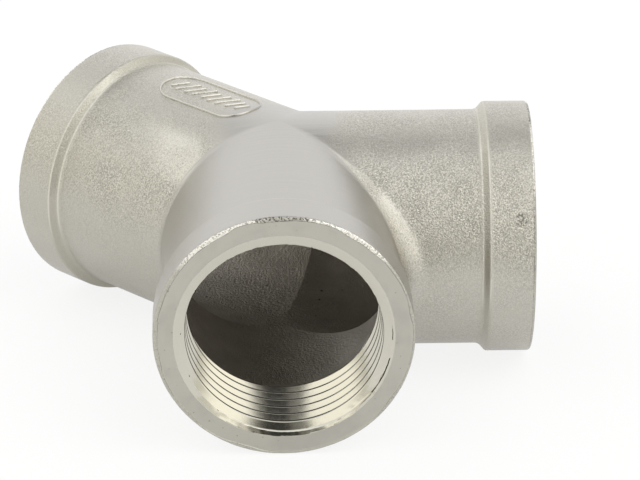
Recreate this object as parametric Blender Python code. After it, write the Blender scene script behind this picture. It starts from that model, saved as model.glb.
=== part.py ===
# Threaded Y-splitter for 1 inch pipe: one hollow investment casting with three female ports.
# The three bores meet at the origin in the plan plane, and +Z is up with the fitting lying flat.
# Sizes are in metres and angles in degrees.

import math

import bmesh
import bpy
from mathutils import Vector

# Where each port points, seen from above: the stem halves the wide side between the two outlets
PORT_HEADINGS = {"front": -90.0, "right": 0.0, "stem": 135.0}

# Internal pipe thread that each port is made for: crest radius at its inner end, height of the thread,
# threaded length, and how much the diameter grows towards the mouth per unit of length
THREAD_CREST_RADIUS = 0.015145
THREAD_HEIGHT = 0.00148
THREAD_LENGTH = 0.01225
THREAD_TAPER = 1 / 16

# Cast pipe, whose bore clears the thread roots, and the blends where the three pipes meet
CORE_CLEARANCE = 0.000615
WALL = 0.00196
CROTCH_FILLET = 0.0046
BORE_RIDGE_ROUND = 0.0008
NECK_STRAIGHT = 0.00855

# Reinforcing band at each port's end
BAND_RISE = 0.0013
BAND_LENGTH = 0.00735
CONE_LENGTH = 0.0011
CONE_FOOT_ROUND = 0.0007
BAND_BACK_ROUND = 0.0004
FACE_EDGE_ROUND = 0.0004

# Mouth of a port, whose countersink clears the thread roots, and the relief behind the thread
COUNTERSINK_CLEARANCE = 0.0003
COUNTERSINK_LENGTH = 0.00075
RELIEF_LENGTH = 0.0021
RELIEF_ROUND = 0.0006

# Facets: across half of a pipe, along a crotch blend, and along a rounded edge
HALF_TURN_FACETS = 32
CROTCH_FACETS = 6
RIDGE_FACETS = 3
EDGE_FACETS = 2

# Radii that follow
THREAD_ROOT_RADIUS = THREAD_CREST_RADIUS + THREAD_HEIGHT
CORE_RADIUS = THREAD_ROOT_RADIUS + CORE_CLEARANCE
NECK_RADIUS = CORE_RADIUS + WALL
BAND_RADIUS = NECK_RADIUS + BAND_RISE

UP = Vector((0.0, 0.0, 1.0))
WELD = 1e-7


def clear_scene():
    for item in list(bpy.data.objects):
        bpy.data.objects.remove(item, do_unlink=True)


def in_plan(angle):
    return Vector((math.cos(angle), math.sin(angle), 0.0))


def heading(port):
    return in_plan(math.radians(PORT_HEADINGS[port]))


def crotches():
    """Each pair of neighbouring ports, anticlockwise, with half of the angle between them."""
    ports = sorted(PORT_HEADINGS, key=PORT_HEADINGS.get)
    pairs = []
    for port, neighbour in zip(ports, ports[1:] + ports[:1]):
        between = (PORT_HEADINGS[neighbour] - PORT_HEADINGS[port]) % 360.0
        pairs.append((port, neighbour, math.radians(between) / 2))
    return pairs


def centre_to_end():
    """The tightest crotch sets how far out its blend runs, and the neck and band follow it."""
    tightest = min(half for _, _, half in crotches())
    blend_end = (NECK_RADIUS + CROTCH_FILLET) / math.tan(tightest)
    return blend_end + NECK_STRAIGHT + CONE_LENGTH + BAND_LENGTH


def rounded(corners):
    """Points of an outline through (distance, radius, rounding) corners; its two ends are guides only."""
    points = []
    for (*before, _), (*here, rounding), (*after, _) in zip(corners, corners[1:], corners[2:]):
        corner = Vector(here)
        if rounding == 0.0:
            points.append(corner)
            continue
        back = (Vector(before) - corner).normalized()
        ahead = (Vector(after) - corner).normalized()
        half = back.angle(ahead) / 2
        centre = corner + (back + ahead).normalized() * rounding / math.sin(half)
        start = corner + back * rounding / math.tan(half) - centre
        sweep = start.angle_signed(corner + ahead * rounding / math.tan(half) - centre)
        for step in range(EDGE_FACETS + 1):
            turn = -sweep * step / EDGE_FACETS
            points.append(centre + Vector((
                start.x * math.cos(turn) - start.y * math.sin(turn),
                start.x * math.sin(turn) + start.y * math.cos(turn),
            )))
    return points


def port_outline():
    """Half section of a port as (distance from the crossing, radius), from the neck round into the bore."""
    face = centre_to_end()
    band_back = face - BAND_LENGTH
    mouth_crest_radius = THREAD_CREST_RADIUS + THREAD_LENGTH * THREAD_TAPER / 2
    countersink_radius = mouth_crest_radius + THREAD_HEIGHT + COUNTERSINK_CLEARANCE
    thread_start = face - COUNTERSINK_LENGTH
    thread_end = thread_start - THREAD_LENGTH
    return rounded([
        (0.0, NECK_RADIUS, 0.0),
        (band_back - CONE_LENGTH, NECK_RADIUS, CONE_FOOT_ROUND),
        (band_back, BAND_RADIUS, BAND_BACK_ROUND),
        (face, BAND_RADIUS, FACE_EDGE_ROUND),
        (face, countersink_radius, 0.0),
        (thread_start, mouth_crest_radius, 0.0),
        (thread_end, THREAD_CREST_RADIUS, 0.0),
        (thread_end - RELIEF_LENGTH, CORE_RADIUS, RELIEF_ROUND),
        (0.0, CORE_RADIUS, 0.0),
    ])


def wall_normal(port, side, lift):
    """Outward direction on a pipe, to the anticlockwise side (1) or the clockwise side (-1)."""
    sideways = UP.cross(heading(port)) * side
    return sideways * math.cos(lift) + UP * math.sin(lift)


def blend(port, neighbour, half, lift, radius, fillet, facets):
    """Arc of a ball that rolls along the crotch and touches both pipes, at one height angle.

    Both pipes have the same radius, so the ball's centre stays on the plane midway between them.
    """
    middle = in_plan(math.radians(PORT_HEADINGS[port]) + half)
    centre = (radius + fillet) * (math.cos(lift) / math.sin(half) * middle + math.sin(lift) * UP)
    start = -wall_normal(port, 1, lift)
    end = -wall_normal(neighbour, -1, lift)
    return [centre + fillet * start.slerp(end, step / facets) for step in range(facets + 1)]


def section(port, neighbour, half, lift, outline):
    """Closed loop of points round the wall between two ports, at one height angle of both pipes."""
    outer = blend(port, neighbour, half, lift, NECK_RADIUS, CROTCH_FILLET, CROTCH_FACETS)
    inner = blend(port, neighbour, half, lift, CORE_RADIUS, BORE_RIDGE_ROUND, RIDGE_FACETS)
    near = [heading(port) * along + wall_normal(port, 1, lift) * out for along, out in outline]
    far = [heading(neighbour) * along + wall_normal(neighbour, -1, lift) * out for along, out in outline]
    return near + inner + far[::-1] + outer[::-1]


def build_body():
    """Lofts the wall between each pair of ports from its lowest line to its highest and welds the three."""
    shell = bmesh.new()
    outline = port_outline()
    for port, neighbour, half in crotches():
        loops = []
        for step in range(HALF_TURN_FACETS + 1):
            lift = math.pi * (step / HALF_TURN_FACETS - 0.5)
            loops.append([shell.verts.new(p) for p in section(port, neighbour, half, lift, outline)])
        for lower, upper in zip(loops, loops[1:]):
            for index in range(len(lower)):
                previous = index - 1
                shell.faces.new((lower[previous], lower[index], upper[index], upper[previous]))
    bmesh.ops.remove_doubles(shell, verts=shell.verts, dist=WELD)
    bmesh.ops.recalc_face_normals(shell, faces=shell.faces)
    mesh = bpy.data.meshes.new("splitter_body")
    shell.to_mesh(mesh)
    shell.free()
    mesh.shade_smooth()
    mesh.set_sharp_from_angle(angle=math.radians(32))
    return mesh


def cast_stainless():
    """Bead-blasted stainless steel."""
    material = bpy.data.materials.new("cast_stainless")
    material.use_nodes = True
    surface = material.node_tree.nodes["Principled BSDF"]
    surface.inputs["Base Color"].default_value = (0.56, 0.53, 0.48, 1.0)
    surface.inputs["Metallic"].default_value = 1.0
    surface.inputs["Roughness"].default_value = 0.45
    return material


def main():
    clear_scene()
    mesh = build_body()
    mesh.materials.append(cast_stainless())
    body = bpy.data.objects.new("splitter_body", mesh)
    bpy.context.scene.collection.objects.link(body)


main()
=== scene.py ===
import math
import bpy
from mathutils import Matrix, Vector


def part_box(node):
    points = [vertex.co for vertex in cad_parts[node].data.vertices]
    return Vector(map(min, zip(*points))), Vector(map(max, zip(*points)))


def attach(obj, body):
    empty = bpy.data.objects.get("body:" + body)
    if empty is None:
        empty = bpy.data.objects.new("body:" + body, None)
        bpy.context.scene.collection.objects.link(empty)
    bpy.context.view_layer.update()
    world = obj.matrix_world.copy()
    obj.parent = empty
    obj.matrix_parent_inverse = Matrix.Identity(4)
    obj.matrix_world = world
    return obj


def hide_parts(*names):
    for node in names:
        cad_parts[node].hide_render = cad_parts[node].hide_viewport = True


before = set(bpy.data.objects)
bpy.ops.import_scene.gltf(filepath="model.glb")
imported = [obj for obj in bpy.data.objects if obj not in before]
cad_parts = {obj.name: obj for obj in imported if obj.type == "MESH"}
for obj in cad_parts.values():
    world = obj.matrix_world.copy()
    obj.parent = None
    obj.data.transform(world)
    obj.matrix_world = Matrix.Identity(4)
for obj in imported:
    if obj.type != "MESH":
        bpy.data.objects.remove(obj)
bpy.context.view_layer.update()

from types import SimpleNamespace

import bmesh
import bpy
from mathutils import Euler, Matrix, Vector, noise

bodyLow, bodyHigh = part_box("splitter_body")
print("frame loaded, body box", bodyLow, bodyHigh)


# Cast body. Lengths in metres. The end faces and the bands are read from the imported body's box.
bodySizes = {
    "facing": {"front": -90.0, "right": 0.0, "stem": 135.0},  # degrees in plan
    "faceAt": bodyHigh[0],  # end face to crossing
    "bandRadius": bodyHigh[2],
    "neckRadius": 0.0192,
    "coreRadius": 0.01724,
    "bandLength": 0.00735,
    "coneLength": 0.0011,
    "coneFootSoft": 0.0006,  # how far the rounding runs along each side of a corner
    "bandBackSoft": 0.0003,
    "faceEdgeSoft": 0.0004,
    "crotchFillet": 0.0046,
    "ridgeRound": 0.0008,
    "arcShare": 0.4,  # share of the crotch rows that lie on the fillet
    "neckClearAt": 0.0309,  # from here outwards no crotch reaches
    "coreClearAt": 0.0240,
    "turnSteps": 232,
    "weld": 0.000002,
    "sharpAngle": 38.0,
    "waveDepth": 0.00005,  # soft unevenness of the casting, inwards only
    "waveSize": 110.0,
    "edgeRag": 0.00007,  # ragged outer edge of the turned face
    "edgeRagSize": 1400.0,
}

# Mouth and thread. A 1 inch taper pipe thread: 55 degree form, crests left flat by the drill.
threadSizes = {
    "crestRadius": 0.015145,  # at the thread's inner end
    "taper": 1 / 16,  # growth of the diameter towards the mouth
    "height": 0.00148,
    "pitch": 0.002309,
    "crestAt": 0.03323,  # where a crest passes the top of the bore
    "crestHalfWidth": 0.095,  # half width of a crest with its broken edges, as a share of the pitch
    "crestFlat": 0.72,  # share of that width that is flat
    "crestHeight": 0.03,  # height of those edges, as a share of the thread's height
    "rootHalfWidth": 0.122,  # the same two shares for a root's rounding
    "rootHeight": 0.115,
    "mouthRows": 7,  # rows on a flank near the mouth, one elsewhere
    "mouthTurns": 2.2,  # how far in from the end face those rows go
    "weld": 0.000001,
    "length": 0.01225,
    "sinkClearance": 0.0003,
    "sinkLength": 0.00075,
    "reliefLength": 0.0021,
    "mouthRag": 0.00008,  # burrs where the groove runs out through the countersink
    "mouthRagSize": 1500.0,
    "mouthRagReach": 1.3,  # how far in they go, as a share of the countersink's length
}

finishOrder = ["castSkin", "turnedFace", "cutThread", "castCore"]


def mouthRadii():
    cut = threadSizes
    crest = cut["crestRadius"] + cut["length"] * cut["taper"] / 2
    return crest, crest + cut["height"] + cut["sinkClearance"]


def drawLine(part, corners):
    # Each corner holds its place along the port and its radius, then the number of rows up to the next
    # corner and how far its rounding runs along both of its sides
    dots, soft = [], []
    for corner, after in zip(corners, corners[1:] + corners[-1:]):
        along, out, rows, reach = (*corner, *(1, 0.0)[len(corner) - 2:])
        for row in range(rows):
            share = row / rows
            dots.append(part.verts.new((along + (after[0] - along) * share, 0.0,
                                        out + (after[1] - out) * share)))
            if reach and row == 0:
                soft.append((dots[-1], reach))
    for pair in zip(dots, dots[1:]):
        part.edges.new(pair)
    for dot, reach in soft:
        bmesh.ops.bevel(part, geom=[dot], offset=reach, offset_type="OFFSET", segments=4,
                        profile=0.5, affect="VERTICES", material=-1)


def turnRound(corners, finish, perTurn=0.0):
    # Turns a line about the port's axis. perTurn moves it along the axis, as a thread cutter does.
    steps = bodySizes["turnSteps"]
    part = bmesh.new()
    drawLine(part, corners)
    bmesh.ops.spin(part, geom=part.verts[:] + part.edges[:], cent=(0, 0, 0), axis=(1, 0, 0),
                   dvec=(perTurn / steps, 0, 0), angle=math.tau, steps=steps, use_merge=perTurn == 0.0)
    for face in part.faces:
        face.material_index = finishOrder.index(finish)
        face.smooth = True
    return part


def join(work, part):
    carrier = bpy.data.meshes.new("carrier")
    part.to_mesh(carrier)
    part.free()
    work.from_mesh(carrier)
    bpy.data.meshes.remove(carrier)


def halfAngles(port):
    # Half of the angle to the next port on the anticlockwise side, and on the clockwise side
    facing = bodySizes["facing"]
    others = [angle for name, angle in facing.items() if name != port]
    left = min((angle - facing[port]) % 360 for angle in others)
    right = min((facing[port] - angle) % 360 for angle in others)
    return math.radians(left / 2), math.radians(right / 2)


def settleInCrotch(part, radius, fillet, clearAt, halves):
    # Slides the rows near the crossing onto the fillet between this pipe and its neighbour
    share = bodySizes["arcShare"]
    for dot in part.verts:
        if dot.co.x > clearAt * 0.9999:
            continue
        reach, side, lift = dot.co.x / clearAt, dot.co.y / radius, dot.co.z / radius
        half = halves[0] if side > 0 else halves[1]
        across = Vector((math.sin(half), -math.copysign(math.cos(half), side), 0))
        centre = Vector((abs(side) / math.tan(half), side, lift)) * (radius + fillet)
        toPipe = Vector((0, -side, -lift))
        toMiddle = (toPipe - across * toPipe.dot(across)).normalized()
        if reach < share:
            dot.co = centre + fillet * toMiddle.slerp(toPipe, reach / share)
        else:
            touch = centre + fillet * toPipe
            touch.x += (clearAt - touch.x) * (reach - share) / (1 - share)
            dot.co = touch


def castOutside(halves):
    size = bodySizes
    face, back = size["faceAt"], size["faceAt"] - size["bandLength"]
    clear, share = size["neckClearAt"], size["arcShare"]
    part = turnRound([
        (0, size["neckRadius"], 9), (clear * share, size["neckRadius"], 10), (clear, size["neckRadius"]),
        (back - size["coneLength"], size["neckRadius"], 1, size["coneFootSoft"]),
        (back, size["bandRadius"], 1, size["bandBackSoft"]),
        (back + size["bandBackSoft"] * 1.5, size["bandRadius"], 5),
        (face - size["faceEdgeSoft"] * 1.5, size["bandRadius"]),
        (face, size["bandRadius"], 1, size["faceEdgeSoft"]),
        (face, size["bandRadius"] - 2 * size["faceEdgeSoft"])], "castSkin")
    settleInCrotch(part, size["neckRadius"], size["crotchFillet"], clear, halves)
    return part


def turnedRing():
    size = bodySizes
    return turnRound([(size["faceAt"], size["bandRadius"] - 2 * size["faceEdgeSoft"], 4),
                      (size["faceAt"], mouthRadii()[1])], "turnedFace")


def cutterForm(nearMouth):
    # One pitch of the thread: place along it, depth below the crest and rows to the next place
    crest, top = threadSizes["crestHalfWidth"], threadSizes["crestHeight"]
    flat = crest * threadSizes["crestFlat"]
    root, low = threadSizes["rootHalfWidth"], threadSizes["rootHeight"]
    flank = threadSizes["mouthRows"] if nearMouth else 1
    return [(-crest, top, 1), (-flat, 0.0, 1), (flat, 0.0, 1), (crest, top, flank),
            (0.5 - root, 1 - low, 1), (0.5, 1.0, 1), (0.5 + root, 1 - low, flank)]


def cutThread():
    cut = threadSizes
    high = bodySizes["faceAt"]
    sinkFoot = high - cut["sinkLength"]
    threadEnd = sinkFoot - cut["length"]
    low = threadEnd - cut["reliefLength"]
    first = cut["crestAt"] - (math.ceil((cut["crestAt"] - low) / cut["pitch"]) + 1) * cut["pitch"]
    rows = []
    for turn in range(math.ceil((high - first) / cut["pitch"])):
        near = first + (turn + cut["mouthTurns"]) * cut["pitch"] > high
        for along, deep, steps in cutterForm(near):
            rows.append((first + (turn + along) * cut["pitch"],
                         cut["crestRadius"] + deep * cut["height"], steps, 0.0))
    part = turnRound(rows, "cutThread", perTurn=cut["pitch"])
    bmesh.ops.remove_doubles(part, verts=part.verts, dist=cut["weld"])
    # At the start of the turns with more rows, the one row of the turn before is split to match
    single = [edge for edge in part.edges if edge.is_boundary and edge.calc_length() > 0.5 * cut["height"]
              and all(dot.co.x > low and abs(dot.co.y) < cut["weld"] for dot in edge.verts)]
    bmesh.ops.subdivide_edges(part, edges=single, cuts=cut["mouthRows"] - 1)
    bmesh.ops.remove_doubles(part, verts=part.verts, dist=cut["weld"])
    openEnds(part, low, threadEnd, sinkFoot, high)
    bmesh.ops.remove_doubles(part, verts=part.verts, dist=cut["weld"])
    return part


def openEnds(part, low, threadEnd, sinkFoot, high):
    # Opens the thread's ends into the countersink and the relief, and widens it towards the mouth
    size, cut = bodySizes, threadSizes
    mouthCrest, sink = mouthRadii()

    def countersink(along):
        return mouthCrest + (sink - mouthCrest) * (along - sinkFoot) / cut["sinkLength"]

    def relief(along):
        widening = size["coreRadius"] - cut["crestRadius"]
        return cut["crestRadius"] + widening * (threadEnd - along) / cut["reliefLength"]

    # Lengthwise lines of the thread. Where one meets either surface, its nearest dot is put on the very
    # edge, and all dots beyond that edge lie on the wider surface
    lines = {}
    for dot in part.verts:
        grown = math.hypot(dot.co.y, dot.co.z) + (dot.co.x - threadEnd) * cut["taper"] / 2
        step = round(math.atan2(dot.co.y, dot.co.z) * size["turnSteps"] / math.tau) % size["turnSteps"]
        lines.setdefault(step, []).append([dot.co.x, grown, dot])
    for line in lines.values():
        line.sort(key=lambda entry: entry[0])
        for wider in (countersink, relief):
            for before, after in zip(line, line[1:]):
                gapBefore, gapAfter = before[1] - wider(before[0]), after[1] - wider(after[0])
                if gapBefore * gapAfter < 0:
                    share = gapBefore / (gapBefore - gapAfter)
                    meeting = [before[i] + (after[i] - before[i]) * share for i in (0, 1)]
                    (before if share < 0.5 else after)[:2] = meeting
        for along, grown, dot in line:
            along = min(max(along, low), high)
            out = Vector((0, dot.co.y, dot.co.z)).normalized() * max(grown, countersink(along), relief(along))
            dot.co = Vector((along, out.y, out.z))


def castInside(halves):
    size, cut = bodySizes, threadSizes
    clear, share = size["coreClearAt"], size["arcShare"]
    foot = size["faceAt"] - cut["sinkLength"] - cut["length"] - cut["reliefLength"]
    part = turnRound([(foot, size["coreRadius"], 1), (clear, size["coreRadius"], 7),
                      (clear * share, size["coreRadius"], 5), (0, size["coreRadius"], 1)], "castCore")
    settleInCrotch(part, size["coreRadius"], size["ridgeRound"], clear, halves)
    return part


def ragEdges(dot):
    # Burrs left by the lathe on the outer edge of the face and in the mouth
    size, cut = bodySizes, threadSizes
    out = math.hypot(dot.co.y, dot.co.z)
    edge, sinkRim = size["faceEdgeSoft"], mouthRadii()[1] * 1.0001
    if dot.co.x > size["faceAt"] - edge * 1.01 and out > size["bandRadius"] - edge:
        rag = -size["edgeRag"] * (0.5 + 0.5 * noise.noise(dot.co * size["edgeRagSize"]))
    elif dot.co.x > size["faceAt"] - cut["mouthRagReach"] * cut["sinkLength"] and out < sinkRim:
        rag = cut["mouthRag"] * noise.noise(dot.co * cut["mouthRagSize"])
    else:
        return
    dot.co.y += dot.co.y / out * rag
    dot.co.z += dot.co.z / out * rag


def makePort(name):
    # Each port is made along +X, then turned to where it points. portPlace keeps its own coordinates.
    halves = halfAngles(name)
    port = bmesh.new()
    for part in (castOutside(halves), turnedRing(), cutThread(), castInside(halves)):
        join(port, part)
    place = port.loops.layers.float_vector.new("portPlace")
    for face in port.faces:
        for corner in face.loops:
            corner[place] = corner.vert.co
    for dot in port.verts:
        ragEdges(dot)
    bmesh.ops.rotate(port, verts=port.verts, cent=(0, 0, 0),
                     matrix=Matrix.Rotation(math.radians(bodySizes["facing"][name]), 3, "Z"))
    print("port made:", name)
    return port


# Raised outline on top of the stem. It holds only a row of plain slanted bars.
plateSizes = {
    "along": 0.0156,  # centre along the stem
    "halfLength": 0.0095,
    "halfWidth": 0.0045,
    "corner": 0.0041,
    "ridge": [(0.00022, -0.0002), (0.00018, 0.00007), (0.00008, 0.00019), (-0.00008, 0.00019),
              (-0.00018, 0.00007), (-0.00022, -0.0002)],  # step outwards and height
    "bar": [(0.0, -0.0002), (-0.00004, 0.00008), (-0.00016, 0.0002)],
    # Shift along the stem and across it, half length and turn from the stem's direction in degrees
    "bars": [(0.0069, 0.0, 0.0017, 60.0), (0.0051, 0.0, 0.0023, 60.0), (0.0033, 0.0002, 0.0020, 60.0),
             (0.0015, -0.0002, 0.0023, 60.0), (-0.0003, 0.0001, 0.0018, 60.0), (-0.0021, 0.0, 0.0022, 60.0),
             (-0.0039, -0.0001, 0.0023, 60.0), (-0.0057, 0.0, 0.0019, 60.0), (-0.0073, 0.0, 0.0014, 60.0)],
    "barHalfWidth": 0.00027,
    "barCorner": 0.95,  # as a share of its half width
    "cornerSteps": 48,
    "barSteps": 16,
}


def raiseShape(plate, halfLength, halfWidth, corner, section, closed, steps, turn=0.0, shift=(0.0, 0.0)):
    # Rounded oblong rings, one for each step of the section, with skin between them
    rings = []
    for grow, height in section:
        ring = bmesh.ops.create_circle(plate, segments=steps, radius=corner + grow)["verts"]
        for dot in ring:
            dot.co.x += math.copysign(halfLength - corner, dot.co.x)
            dot.co.y += math.copysign(halfWidth - corner, dot.co.y)
            dot.co.z = height
        rings.append((ring, list({edge for dot in ring for edge in dot.link_edges})))
    for low, high in zip(rings, rings[1:] + rings[:1]):
        if closed or high is not rings[0]:
            bmesh.ops.bridge_loops(plate, edges=low[1] + high[1])
    if not closed:
        plate.faces.new(rings[0][0])
        plate.faces.new(rings[-1][0])
    dots = [dot for ring in rings for dot in ring[0]]
    bmesh.ops.rotate(plate, verts=dots, cent=(0, 0, 0), matrix=Matrix.Rotation(math.radians(turn), 3, "Z"))
    bmesh.ops.translate(plate, verts=dots, vec=(*shift, 0))


def makePlate():
    size = plateSizes
    plate = bmesh.new()
    raiseShape(plate, size["halfLength"], size["halfWidth"], size["corner"], size["ridge"], True,
               size["cornerSteps"])
    for along, across, halfLength, turn in size["bars"]:
        raiseShape(plate, halfLength, size["barHalfWidth"], size["barHalfWidth"] * size["barCorner"],
                   size["bar"], False, size["barSteps"], turn, (along, across))
    bmesh.ops.recalc_face_normals(plate, faces=plate.faces)
    neck = bodySizes["neckRadius"]
    for dot in plate.verts:
        dot.co = Vector((dot.co.x + size["along"], (neck + dot.co.z) * math.sin(dot.co.y / neck),
                         (neck + dot.co.z) * math.cos(dot.co.y / neck)))
    place = plate.loops.layers.float_vector.new("portPlace")
    for face in plate.faces:
        face.smooth = True
        for corner in face.loops:
            corner[place] = corner.vert.co
    bmesh.ops.rotate(plate, verts=plate.verts, cent=(0, 0, 0),
                     matrix=Matrix.Rotation(math.radians(bodySizes["facing"]["stem"]), 3, "Z"))
    print("raised outline made")
    return plate


def makeBody():
    work = bmesh.new()
    for name in bodySizes["facing"]:
        join(work, makePort(name))
    bmesh.ops.remove_doubles(work, verts=work.verts, dist=bodySizes["weld"])
    bmesh.ops.recalc_face_normals(work, faces=work.faces)
    work.normal_update()
    for dot in work.verts:
        if any(face.material_index == 0 for face in dot.link_faces):
            wave = 0.5 + 0.5 * noise.noise(dot.co * bodySizes["waveSize"])
            dot.co -= dot.normal * bodySizes["waveDepth"] * wave
    join(work, makePlate())
    openEdges = sum(1 for edge in work.edges if len(edge.link_faces) != 2)
    mesh = bpy.data.meshes.new("yFittingBody")
    work.to_mesh(mesh)
    work.free()
    mesh.set_sharp_from_angle(angle=math.radians(bodySizes["sharpAngle"]))
    mesh.calc_loop_triangles()
    print("body mesh:", len(mesh.loop_triangles), "triangles,", openEdges, "open or crowded edges")
    body = bpy.data.objects.new("yFittingBody", mesh)
    bpy.context.scene.collection.objects.link(body)
    # Flat flanks and faces stay flat, and the small roundings beside them take the turn
    body.modifiers.new("evenShade", "WEIGHTED_NORMAL").keep_sharp = True
    return body


class Wire:
    # One value in a node tree, so that shader maths can be written as arithmetic
    def __init__(self, recipe, socket):
        self.recipe = recipe
        self.socket = socket

    def maths(self, operation, *values):
        return self.recipe.node("ShaderNodeMath", {"operation": operation}, dict(enumerate(values)))

    def __add__(self, other):
        return self.maths("ADD", self, other)

    __radd__ = __add__

    def __sub__(self, other):
        return self.maths("SUBTRACT", self, other)

    def __rsub__(self, other):
        return self.maths("SUBTRACT", other, self)

    def __mul__(self, other):
        return self.maths("MULTIPLY", self, other)

    __rmul__ = __mul__

    def __truediv__(self, other):
        return self.maths("DIVIDE", self, other)

    def __pow__(self, other):
        return self.maths("POWER", self, other)

    def __abs__(self):
        return self.maths("ABSOLUTE", self)

    def atLeast(self, other):
        return self.maths("MAXIMUM", self, other)


class Recipe:
    # The node tree of a material or of the world
    def __init__(self, owner, surface="Principled BSDF"):
        self.owner = owner
        owner.use_nodes = True
        self.tree = owner.node_tree
        self.surface = self.tree.nodes[surface]

    def node(self, kind, settings=None, values=None, output=0):
        made = self.tree.nodes.new(kind)
        for key, value in (settings or {}).items():
            setattr(made, key, value)
        for key, value in (values or {}).items():
            self.feed(made.inputs[key], value)
        return Wire(self, made.outputs[output])

    def feed(self, socket, value):
        if isinstance(value, Wire):
            self.tree.links.new(value.socket, socket)
        else:
            socket.default_value = value

    def spot(self):
        return self.node("ShaderNodeTexCoord", output="Object")

    def port(self):
        # Place along the port, distance from its axis, and height
        along, side, up = self.parts(
            self.node("ShaderNodeAttribute", {"attribute_name": "portPlace"}, output="Vector"))
        return along, (side * side + up * up) ** 0.5, up

    def parts(self, vector):
        outputs = self.node("ShaderNodeSeparateXYZ", None, {"Vector": vector}).socket.node.outputs
        return [Wire(self, outputs[axis]) for axis in "XYZ"]

    def cloud(self, scale, detail=2.0, roughness=0.5, stretch=None, vector=None):
        vector = vector or self.spot()
        if stretch:
            vector = self.node("ShaderNodeMapping", None, {"Vector": vector, "Scale": stretch})
        return self.node("ShaderNodeTexNoise", None,
                         {"Vector": vector, "Scale": scale, "Detail": detail, "Roughness": roughness})

    def turningMarks(self, along, radius, scale):
        line = self.node("ShaderNodeCombineXYZ", None, {"X": radius, "Y": along})
        return self.cloud(scale, detail=3.0, roughness=0.7, vector=line)

    def between(self, value, low, high, bottom=0.0, top=1.0):
        return self.node("ShaderNodeMapRange", {"interpolation_type": "SMOOTHSTEP"},
                         {"Value": value, "From Min": low, "From Max": high, "To Min": bottom, "To Max": top})

    def within(self, value, start, full, ease, end):
        # Rises from start to full and falls from ease to end
        return self.between(value, start, full) * self.between(value, end, ease)

    def mixColours(self, share, first, second):
        return self.node("ShaderNodeMix", {"data_type": "RGBA"}, {0: share, 6: first, 7: second}, output=2)

    def bump(self, height, distance):
        return self.node("ShaderNodeBump", None, {"Height": height, "Distance": distance})

    def finish(self, **values):
        for key, value in values.items():
            self.feed(self.surface.inputs[key.replace("_", " ")], value)
        return self.owner


def newRecipe(name):
    return Recipe(bpy.data.materials.new(name))


skinLook = {
    "pit": (0.360, 0.348, 0.312, 1.0),
    "peak": (0.690, 0.668, 0.605, 1.0),
    "sparkle": (0.92, 0.88, 0.75, 1.0),
    "rubbed": (0.468, 0.454, 0.428, 1.0),
    # Colour of the painted glints and highlights on the lathe's edge, the raised outline and the cones
    "edge": (0.86, 0.84, 0.78, 1.0),
    "cone": (0.49, 0.472, 0.405, 1.0),
    "darkMark": (0.16, 0.15, 0.13, 1.0),
    "grainDepth": 0.00018,
    "grainTones": (-0.64, 0.36),  # how far the grain pulls towards pit and peak
    "roughness": 0.34,
    "edgeRoughness": 0.2,
    # Noise scales, and the noise values between which each effect sets in
    "grainScale": 3900.0,
    "grainSpan": (0.3, 0.7),
    "patchScale": 130.0,
    "patchSpan": (0.35, 0.65),
    "sparkleScale": 5200.0,
    "sparkleSpan": (0.60, 0.70),
    "speckScale": 2600.0,
    "edgeGlintSpan": (0.38, 0.50),
    "darkMarkSpan": (0.50, 0.44),
    "rimScale": 110.0,
    "rimSpan": (0.4, 0.62),
    "scratchScale": 500.0,
    "scratchStretch": (0.12, 2.2, 1.0),
    # Strength of the grain in the zones below, and between the dull and the lively patches
    "patchGrain": (0.75, 1.25),
    "lowGrain": 0.28,
    "topGrain": 0.5,
    "rightGrain": (0.9, 1.25),
    "stemGrain": 0.6,
    "rubbedGrain": 0.2,
    "coneGrain": 1.3,
    # Shares of the brighter or darker tones
    # Painted highlights on the crotches, and painted shade on the stem's lower side
    "rightCrotchPaintedHighlight": 0.8,
    "stemCrotchPaintedHighlight": 0.55,
    "stemShade": 0.12,
    "sparkleShare": 0.6,
    "coneShare": 0.6,
    # Painted highlights on the cones: the right cone's body, both cones' edges, and the share kept at the top
    "paintedConeHighlight": 0.25,
    "coneEdgePaintedHighlight": (0.4, 0.55),  # at the stem and at the right
    "coneHighlightShareAtTop": 0.3,
    "raisedPaintedHighlight": 0.4,
    "scarShare": 0.8,
    "scratchDepth": 0.25,
    "edgeDepth": 1.6,
}

# Zones of the skin in metres: where each starts and is complete, then where it eases off and ends. Only
# the tilts are heights as a share of the radius.
skinZones = {
    "front": (0.0015, 0.0005),  # gap between the place along the port and the place along -Y
    "middle": (0.012, 0.007),
    "rubbedHeight": (-0.004, 0.010),
    "crotchRise": (0.00003, 0.0003),  # above the neck
    "crotchEnd": (0.0312, 0.0309),
    "cone": (0.0012, 0.0007),  # from the cone's middle
    "coneEdge": (0.0004, 0.0005, 0.00062, 0.00076),
    "faceFlat": (-0.0002, -0.00005),  # from the end face
    "faceEdge": (-0.0005, -0.0003),
    "rimWidth": (0.00035, 0.0008),
    "rimSoft": 0.00008,
    "lowHeight": (-0.002, 0.009),
    "topHeight": (0.013, 0.018),
    "rightReach": (0.005, 0.015),
    "stemReach": (-0.037, -0.028),
    "right": (0.0, 0.01),
    "rightCrotchHeight": (0.0, 0.007),
    "stemCrotch": (-0.023, -0.0155, -0.0135, -0.012),
    "stemCrotchHeight": (0.0095, 0.0125, 0.0155, 0.0172),
    "stemShade": (-0.010, -0.020),
    "stemShadeHeight": (-0.007, -0.001, 0.001, 0.007),
    # Heights where the cones' painted highlight sets in, and where it eases off to its top share
    "coneHighlightFoot": (-0.008, 0.0),
    "coneHighlightTop": (0.0195, 0.0160),
    "edgeGlintTilt": (0.54, 0.70, 0.970, 0.990),
    "darkTopTilt": (0.965, 0.985),
    "raised": (0.00005, 0.00016),  # above the neck
    "raisedSide": (0.0155, 0.0125),
    "raisedEnd": (0.0275, 0.0265),
    "raisedHeight": (0.0165, 0.0172),
    "scarAt": (0.0384, -0.0183, 0.0093),  # small marks on the right port's band
    "scar": (0.0013, 0.0009),
}


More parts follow.
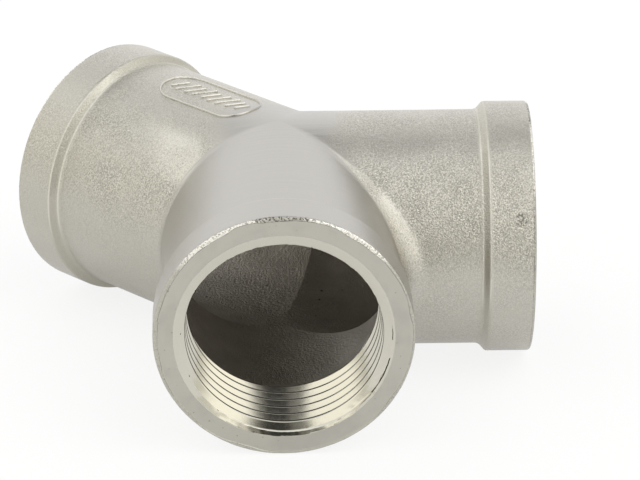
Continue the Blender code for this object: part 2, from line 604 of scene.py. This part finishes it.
def skinPlaces(skin):
    # Coordinates, and a share from 0 to 1 for each broad zone
    zone = skinZones
    along, radius, up = skin.port()
    x, y, z = skin.parts(skin.spot())
    aboveNeck = radius - bodySizes["neckRadius"]
    fromFace = along - bodySizes["faceAt"]
    coneMiddle = bodySizes["faceAt"] - bodySizes["bandLength"] - 0.5 * bodySizes["coneLength"]
    fromCone = abs(along - coneMiddle)
    # The front port's top is rubbed smooth, but not in its crotches, where the radius grows
    crotch = skin.between(aboveNeck, *zone["crotchRise"]) * skin.between(along, *zone["crotchEnd"])
    inFront = skin.between(abs(along + y), *zone["front"]) * (1.0 - crotch)
    middle = skin.between((x * x + y * y) ** 0.5, *zone["middle"])
    return SimpleNamespace(
        x=x, z=z, along=along, radius=radius, up=up, tilt=up / radius,
        aboveNeck=aboveNeck, fromFace=fromFace, crotch=crotch,
        rubbed=inFront.atLeast(middle) * skin.between(z, *zone["rubbedHeight"]),
        onRight=skin.between(x, *zone["right"]),
        cone=skin.between(fromCone, *zone["cone"]),
        coneEdges=skin.within(fromCone, *zone["coneEdge"]),
        flat=skin.between(fromFace, *zone["faceFlat"]))


def blastStrength(skin, at):
    # The blasting is faintest low down and patchy everywhere
    look, zone = skinLook, skinZones
    patch = skin.cloud(look["patchScale"], detail=1.0)
    strength = skin.between(patch, *look["patchSpan"], *look["patchGrain"])
    strength = strength * skin.between(at.z, *zone["lowHeight"], look["lowGrain"], 1.0)
    strength = strength * skin.between(at.z, *zone["topHeight"], 1.0, look["topGrain"])
    strength = strength * skin.between(at.x, *zone["rightReach"], *look["rightGrain"])
    strength = strength * skin.between(at.x, *zone["stemReach"], look["stemGrain"], 1.0)
    strength = strength * (1.0 - (1.0 - look["rubbedGrain"]) * at.rubbed)
    return strength * (1.0 + (look["coneGrain"] - 1.0) * at.cone) * (1.0 - at.flat)


def paintedCrotchLightAndShade(skin, at):
    # Painted highlights on the right crotch and beside the stem's crotch, and painted shade on the stem's
    # lower side
    look, zone = skinLook, skinZones
    rightCrotch = at.onRight * at.crotch * skin.between(at.z, *zone["rightCrotchHeight"])
    stemCrotch = skin.within(at.x, *zone["stemCrotch"]) * skin.within(at.z, *zone["stemCrotchHeight"])
    shade = skin.between(at.x, *zone["stemShade"]) * skin.within(at.z, *zone["stemShadeHeight"])
    return (look["rightCrotchPaintedHighlight"] * rightCrotch + look["stemCrotchPaintedHighlight"] * stemCrotch
            - look["stemShade"] * shade)


def latheEdge(skin, at):
    # The rounded outer edge of the face, as far in as an uneven line
    look, zone = skinLook, skinZones
    rim = skin.cloud(look["rimScale"], detail=1.0)
    inner = bodySizes["bandRadius"] - skin.between(rim, *look["rimSpan"], *zone["rimWidth"])
    edge = skin.between(at.fromFace, *zone["faceEdge"])
    return edge * skin.between(at.radius, inner - zone["rimSoft"], inner + zone["rimSoft"])


def raisedPaintedHighlight(skin, at):
    # Painted highlight on the raised outline on the stem
    zone = skinZones
    raised = skin.between(at.aboveNeck, *zone["raised"]) * skin.between(at.x + at.z, *zone["raisedSide"])
    raised = raised * skin.between(at.along, *zone["raisedEnd"]) * skin.between(at.up, *zone["raisedHeight"])
    return skinLook["raisedPaintedHighlight"] * raised


def paintedConeHighlight(skin, at):
    # Painted highlight on the cones of the stem and the right port, most of all on their edges, none low down
    # and weaker at the top
    look, zone = skinLook, skinZones
    stemEdge, rightEdge = look["coneEdgePaintedHighlight"]
    share = look["paintedConeHighlight"] * at.onRight * at.cone
    share = share + (stemEdge + (rightEdge - stemEdge) * at.onRight) * at.coneEdges
    share = share * (1.0 - at.rubbed) * skin.between(at.z, *zone["coneHighlightFoot"])
    return share * skin.between(at.z, *zone["coneHighlightTop"], look["coneHighlightShareAtTop"], 1.0)


def castSkinMaterial():
    skin, look, zone = newRecipe("castSkin"), skinLook, skinZones
    at = skinPlaces(skin)
    grain = skin.cloud(look["grainScale"], detail=2.0, roughness=0.65)
    speck = skin.cloud(look["speckScale"], detail=2.0)
    strength = blastStrength(skin, at)
    pull = skin.between(grain, *look["grainSpan"], *look["grainTones"])
    # The grain's tone, plus the painted crotch highlights, less the painted shade on the stem's lower side
    level = 0.5 + pull * strength + paintedCrotchLightAndShade(skin, at)
    colour = skin.mixColours(level, look["pit"], look["peak"])
    sparkle = skin.between(skin.cloud(look["sparkleScale"], detail=1.0), *look["sparkleSpan"])
    colour = skin.mixColours(look["sparkleShare"] * sparkle * strength, colour, look["sparkle"])
    colour = skin.mixColours(at.rubbed, colour, look["rubbed"])
    colour = skin.mixColours(look["coneShare"] * at.cone, colour, look["cone"])
    colour = skin.mixColours(at.flat, colour, faceLook["colour"])
    # Painted glints on the upper side of the lathe's edge, and painted highlights on the raised outline and
    # the cones
    edge = latheEdge(skin, at)
    edgeGlint = edge * skin.within(at.tilt, *zone["edgeGlintTilt"]) * skin.between(speck, *look["edgeGlintSpan"])
    bright = edgeGlint.atLeast(raisedPaintedHighlight(skin, at))
    colour = skin.mixColours(bright.atLeast(paintedConeHighlight(skin, at)), colour, look["edge"])
    # Dark marks along the very top of the edge and in small scars
    darkMark = skin.between(speck, *look["darkMarkSpan"])
    darkTop = edge * darkMark * skin.between(at.tilt, *zone["darkTopTilt"])
    scar = skin.node("ShaderNodeVectorMath", {"operation": "DISTANCE"},
                     {0: skin.spot(), 1: zone["scarAt"]}, output="Value")
    scarred = look["scarShare"] * darkMark * skin.between(scar, *zone["scar"])
    colour = skin.mixColours(darkTop.atLeast(scarred), colour, look["darkMark"])
    scratch = skin.cloud(look["scratchScale"], detail=2.0, stretch=look["scratchStretch"])
    height = strength * grain + look["scratchDepth"] * at.rubbed * scratch + look["edgeDepth"] * edge * speck
    return skin.finish(
        Base_Color=colour, Metallic=1.0, Normal=skin.bump(height, look["grainDepth"]),
        Roughness=look["roughness"] + bright * (look["edgeRoughness"] - look["roughness"]))


faceLook = {
    "colour": (0.490, 0.477, 0.427, 1.0),
    "dull": (0.455, 0.443, 0.40, 1.0),
    "nick": (0.20, 0.19, 0.16, 1.0),
    "nickShare": 0.7,
    "nickScale": 1300.0,
    "nickSpan": (0.69, 0.73),
    "stainScale": 260.0,
    "stainSpan": (0.4, 0.7),
    "markScale": 9000.0,
    "markDepth": 0.000006,
    "roughness": 0.38,
    "roughnessSwing": 0.12,
}


def turnedFaceMaterial():
    face = newRecipe("turnedFace")
    along, radius = face.port()[:2]
    marks = face.turningMarks(along, radius, faceLook["markScale"])
    stain = face.cloud(faceLook["stainScale"], detail=3.0)
    dull = face.between(stain, *faceLook["stainSpan"])
    colour = face.mixColours(dull, faceLook["colour"], faceLook["dull"])
    nicks = face.between(face.cloud(faceLook["nickScale"], detail=2.0), *faceLook["nickSpan"])
    colour = face.mixColours(faceLook["nickShare"] * nicks, colour, faceLook["nick"])
    return face.finish(Base_Color=colour, Metallic=1.0, Normal=face.bump(marks, faceLook["markDepth"]),
                       Roughness=faceLook["roughness"] + faceLook["roughnessSwing"] * (stain - 0.5))


threadLook = {
    "colour": (0.585, 0.568, 0.50, 1.0),
    # Darker colour of the crest tops: painted shade
    "crest": (0.46, 0.45, 0.40, 1.0),
    "crestHeight": 0.00009,
    "markScale": 6000.0,
    "markDepth": 0.000004,
    "chatterScale": 1800.0,
    "chatterDepth": 0.4,  # as a share of the turning marks
    "roughness": 0.13,
    "roughnessSwing": 0.1,
}


def cutThreadMaterial():
    thread = newRecipe("cutThread")
    along, radius = thread.port()[:2]
    marks = thread.turningMarks(along, radius, threadLook["markScale"])
    chatter = thread.cloud(threadLook["chatterScale"], detail=1.0)
    height = marks + chatter * threadLook["chatterDepth"]
    start = bodySizes["faceAt"] - threadSizes["sinkLength"] - threadSizes["length"]
    # The crest tops are darkened in colour: painted shade standing in for the dark they reflect
    aboveCrest = radius - threadSizes["crestRadius"] - (along - start) * (threadSizes["taper"] / 2)
    crest = thread.between(aboveCrest, threadLook["crestHeight"], threadLook["crestHeight"] * 0.5)
    colour = thread.mixColours(crest, threadLook["colour"], threadLook["crest"])
    return thread.finish(Base_Color=colour, Metallic=1.0,
                         Normal=thread.bump(height, threadLook["markDepth"]),
                         Roughness=threadLook["roughness"] + threadLook["roughnessSwing"] * (chatter - 0.5))


coreLook = {
    "colour": (0.385, 0.359, 0.323, 1.0),
    "scale": (0.337, 0.313, 0.279, 1.0),
    "pit": (0.08, 0.075, 0.07, 1.0),
    "pitScale": 900.0,
    "pitSpan": (0.765, 0.79),
    "blotchScale": 230.0,
    "blotchSpan": (0.35, 0.65),
    "grainScale": 2300.0,
    "grainDepth": 0.00018,
    "roughness": 0.52,
    "roughnessSwing": 0.1,
}


def castCoreMaterial():
    core = newRecipe("castCore")
    grain = core.cloud(coreLook["grainScale"], detail=3.0, roughness=0.6)
    blotch = core.cloud(coreLook["blotchScale"], detail=3.0)
    scaled = core.between(blotch, *coreLook["blotchSpan"])
    colour = core.mixColours(scaled, coreLook["colour"], coreLook["scale"])
    pits = core.between(core.cloud(coreLook["pitScale"], detail=1.0), *coreLook["pitSpan"])
    colour = core.mixColours(pits, colour, coreLook["pit"])
    return core.finish(Base_Color=colour, Metallic=1.0, Normal=core.bump(grain, coreLook["grainDepth"]),
                       Roughness=coreLook["roughness"] + coreLook["roughnessSwing"] * (blotch - 0.5))


def dressBody(body):
    makers = {"castSkin": castSkinMaterial, "turnedFace": turnedFaceMaterial,
              "cutThread": cutThreadMaterial, "castCore": castCoreMaterial}
    for name in finishOrder:
        body.data.materials.append(makers[name]())
    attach(body, "root")
    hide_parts("splitter_body")
    print("finishes ready")


# Light tent with a dark gap at the camera between two bright panels. Angles in degrees from the camera's
# side, right positive, and heights as the sine of the elevation.
studio = {
    "floorHalf": 6.0,
    "floorColour": (0.95, 0.95, 0.95, 1.0),
    "floorRoughness": 0.9,
    "floorGlow": 0.84,  # share of the floor's white that the camera sees without shadow
    "floorReflectedGlow": (0.1, 0.6),  # the same in reflections, at the left and at the right; the lower share at the left is painted shade
    "floorReflectedGlowRamp": (-0.10, 0.05),  # metres to the right of the crossing
    "warm": (1.0, 0.975, 0.88, 1.0),
    "neutral": (1.0, 1.0, 1.0, 1.0),
    "warmEnds": (0.35, 0.8),
    "coolBack": (0.3, 0.8),
    "leftShade": 0.04,
    "leftShadeRamp": (-0.3, -0.8),
    "backGlow": 0.36,
    "backRamp": (0.4, 0.9),
    "tent": 0.88,
    "top": 1.03,
    "topRamp": (0.55, 0.97),
    "gap": 0.05,
    "gapEdge": 0.25,
    "gapEdgeRamp": (-4.0, -6.0),
    "gapBottom": (0.04, 0.14),
    "gapTop": (0.71, 0.56),
    "rightPanel": 1.6,
    "rightRamp": (8.5, 22.0),
    "leftPanel": 1.5,
    "leftRamp": (-11.0, -18.0),
    "panelEnds": (45.0, 80.0),
    "panelBottom": (0.05, 0.22),
    "panelTop": (0.66, 0.44),
    # Soft lamps at the right, left, far left, low behind the stem and above the camera, then a dark flag
    # above the back: direction, cosine of the angle where each ends and is full, level
    "lamps": [((0.596, -0.241, 0.766), (0.88, 0.97), 1.25), ((-0.560, -0.330, 0.760), (0.88, 0.97), 0.25),
              ((-0.720, 0.262, 0.643), (0.84, 0.98), 0.26), ((-0.822, 0.569, 0.03), (0.94, 0.99), 0.5),
              ((0.04, -0.50, 0.865), (0.90, 0.98), 0.14), ((0.0, 0.34, 0.940), (0.90, 0.985), -0.64)],
}


def makeFloor():
    floorWork = bmesh.new()
    bmesh.ops.create_grid(floorWork, x_segments=1, y_segments=1, size=studio["floorHalf"])
    bmesh.ops.translate(floorWork, verts=floorWork.verts, vec=(0, 0, bodyLow[2]))
    floorMesh = bpy.data.meshes.new("floor")
    floorWork.to_mesh(floorMesh)
    floorWork.free()
    floor = bpy.data.objects.new("floor", floorMesh)
    bpy.context.scene.collection.objects.link(floor)
    paint = newRecipe("floorPaint")
    floorMesh.materials.append(
        paint.finish(Base_Color=studio["floorColour"], Roughness=studio["floorRoughness"]))
    # The floor glows white in reflections, less towards the left: painted shade
    reflectedGlow = paint.between(paint.parts(paint.spot())[0], *studio["floorReflectedGlowRamp"], *studio["floorReflectedGlow"])
    watched = (studio["floorGlow"] * paint.node("ShaderNodeLightPath", output="Is Camera Ray")
               + reflectedGlow * paint.node("ShaderNodeLightPath", output="Is Glossy Ray"))
    white = paint.node("ShaderNodeEmission", None, {"Color": (1.0, 1.0, 1.0, 1.0), "Strength": 1.0})
    matt = Wire(paint, paint.surface.outputs["BSDF"])
    paint.feed(paint.tree.nodes["Material Output"].inputs["Surface"],
               paint.node("ShaderNodeMixShader", None, {0: watched, 1: matt, 2: white}))


def makeTent():
    world = bpy.data.worlds.new("studioWorld")
    bpy.context.scene.world = world
    sky = Recipe(world, "Background")
    ray = sky.node("ShaderNodeTexCoord", output="Generated")
    x, y, z = sky.parts(ray)
    turn = x.maths("ARCTAN2", x, 0.0 - y) * math.degrees(1)
    plain = sky.between(z, *studio["topRamp"], studio["tent"], studio["top"])
    plain = plain * (1.0 - studio["leftShade"] * sky.between(x, *studio["leftShadeRamp"]))
    plain = plain + studio["backGlow"] * sky.between(y, *studio["backRamp"])
    for aim, ends, power in studio["lamps"]:
        facing = sky.node("ShaderNodeVectorMath", {"operation": "DOT_PRODUCT"}, {0: ray, 1: aim}, "Value")
        plain = plain + power * sky.between(facing, *ends)
    right, left = sky.between(turn, *studio["rightRamp"]), sky.between(turn, *studio["leftRamp"])
    edge = sky.between(turn, *studio["gapEdgeRamp"])
    panel = right * studio["rightPanel"] + left * studio["leftPanel"]
    beside = sky.between(z, *studio["panelBottom"]) * sky.between(z, *studio["panelTop"])
    beside = beside * (right + left) * sky.between(abs(turn), *studio["panelEnds"], 1.0, 0.0)
    gap = studio["gap"] + edge * (studio["gapEdge"] - studio["gap"])
    inGap = sky.between(z, *studio["gapBottom"]) * sky.between(z, *studio["gapTop"])
    inGap = inGap * (1.0 - right) * (1.0 - left)
    level = plain + (panel - plain) * beside
    level = level + (gap - level) * inGap
    seen = sky.node("ShaderNodeLightPath", output="Is Camera Ray")
    cool = sky.between(z, *studio["warmEnds"]).atLeast(sky.between(y, *studio["coolBack"]))
    tint = sky.mixColours(cool, studio["warm"], studio["neutral"])
    sky.finish(Color=tint, Strength=level + (1.0 - level) * seen)
    print("studio ready")


cameraView = {
    "place": (-0.010438, -0.633941, 0.289412),
    "turn": (1.13978, 0.00138, -0.02765),  # tilt, roll and heading in radians
    "lens": 239.0,
    "sensor": 36.0,
}


def makeCamera():
    camera = bpy.data.objects.new("photoCamera", bpy.data.cameras.new("photoCamera"))
    camera.data.lens = cameraView["lens"]
    camera.data.sensor_width = cameraView["sensor"]
    camera.location = cameraView["place"]
    camera.rotation_euler = Euler(cameraView["turn"])
    bpy.context.scene.collection.objects.link(camera)
    bpy.context.scene.camera = camera


makeCamera()
body = makeBody()
dressBody(body)
makeFloor()
makeTent()
bpy.context.scene.view_settings.view_transform = "Standard"
